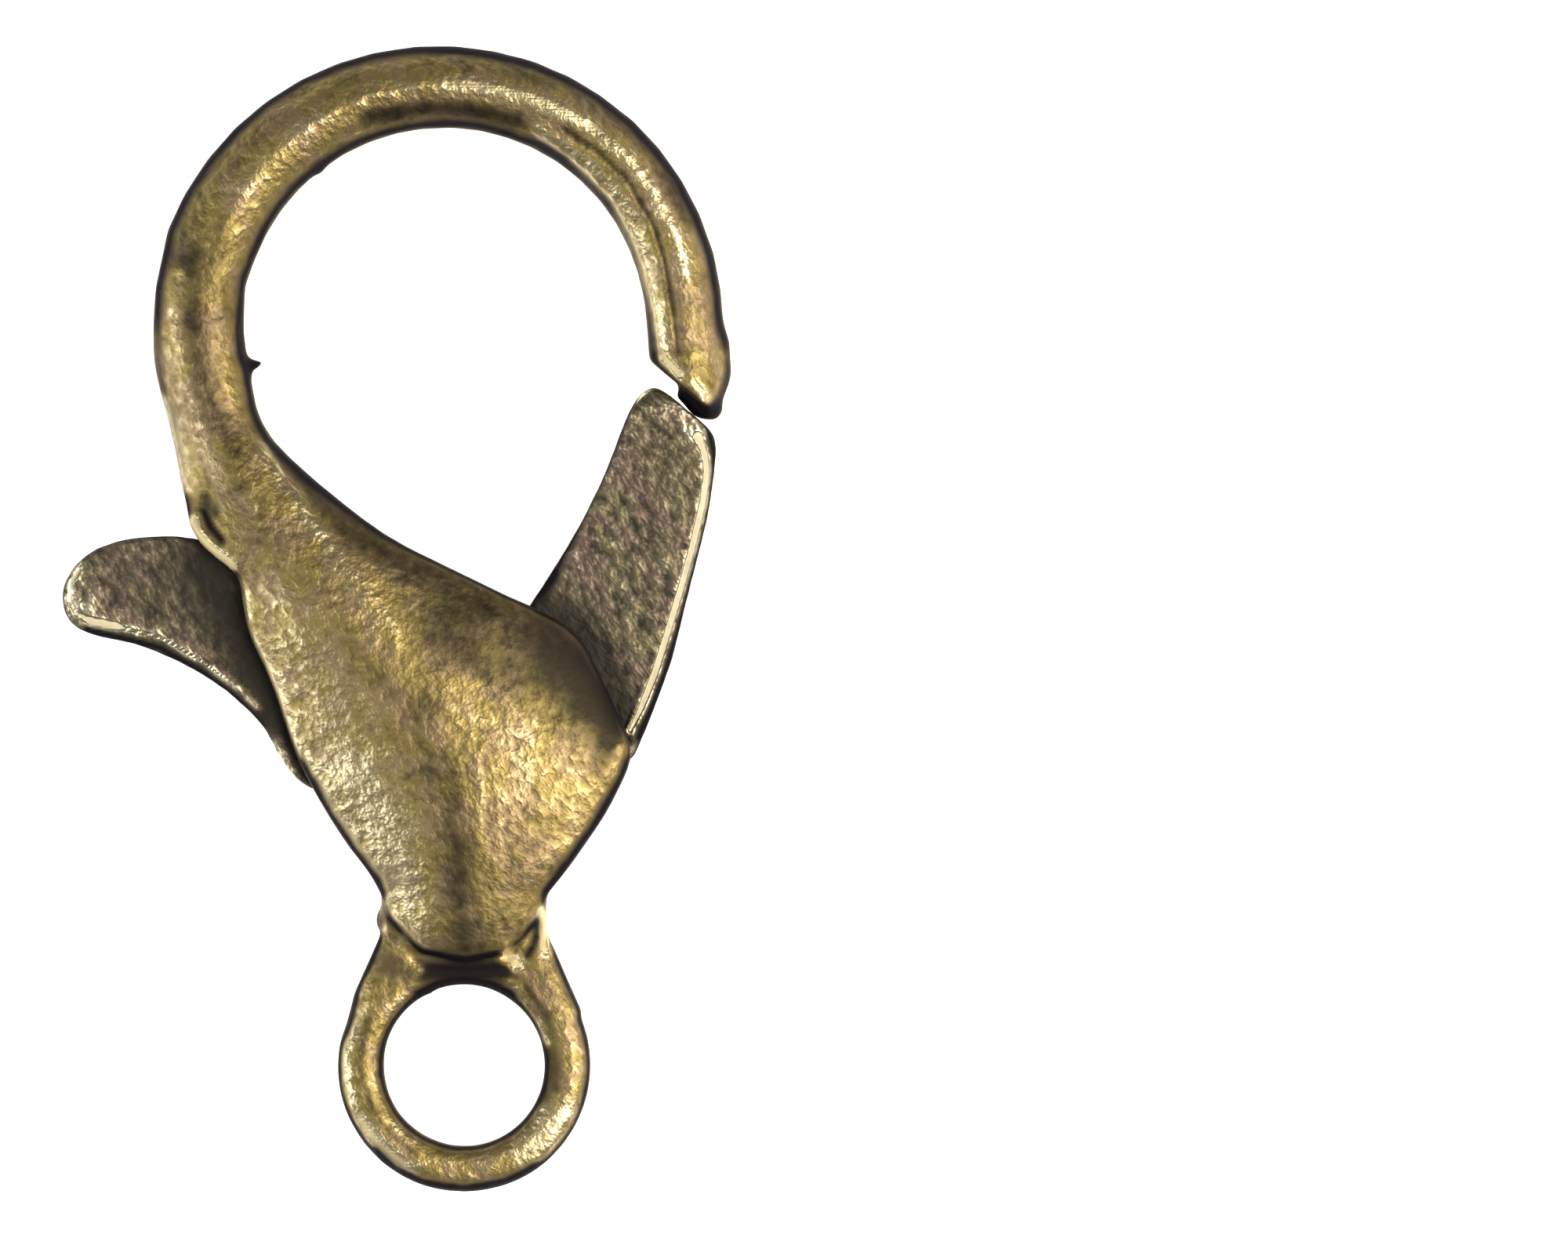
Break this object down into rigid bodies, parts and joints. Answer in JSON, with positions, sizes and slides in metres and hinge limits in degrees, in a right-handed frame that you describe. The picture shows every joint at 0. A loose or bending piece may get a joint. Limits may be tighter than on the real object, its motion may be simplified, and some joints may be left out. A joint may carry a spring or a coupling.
{
  "type": "lobster clasp",
  "caption": "Cast lobster clasp: a hooked body with a round eye at its foot, and a sprung lever whose arm shuts the hook and whose thumb piece opens it.",
  "frame": {"origin": "centre of the eye's bore, on the clasp's mid-plane", "axes": "+Y from the eye up to the hook, +X to the side of the hook's tip, +Z out of the upper face along the eye's bore and the lever's pin. The clasp lies on its -Z face."},
  "size_m": [0.0203, 0.0348, 0.0052],
  "materials": {
    "antique_bronze": "antique bronze plating over a cast zinc alloy, worn bright on the high places and dark in the hollows",
    "antique_bronze_lever": "the same plating, matte and darker on the lever's flat faces and worn bright on its edges",
    "bright_steel": "plain drawn steel wire"
  },
  "bodies": {
    "body": {"casting": "antique_bronze", "pivot_pin": "bright_steel", "return_spring": "bright_steel"},
    "lever": {"lever": "antique_bronze_lever"}
  },
  "joints": [
    {"name": "lever_hinge", "type": "hinge", "parent": "body", "child": "lever", "pos_m": [0.00219, 0.00938, 0], "axis": [0, 0, 1], "range_deg": [0, 22], "stiffness_Nm_per_rad": 0.02, "springref_deg": -17.19, "deforming": ["return_spring"]}
  ]
}
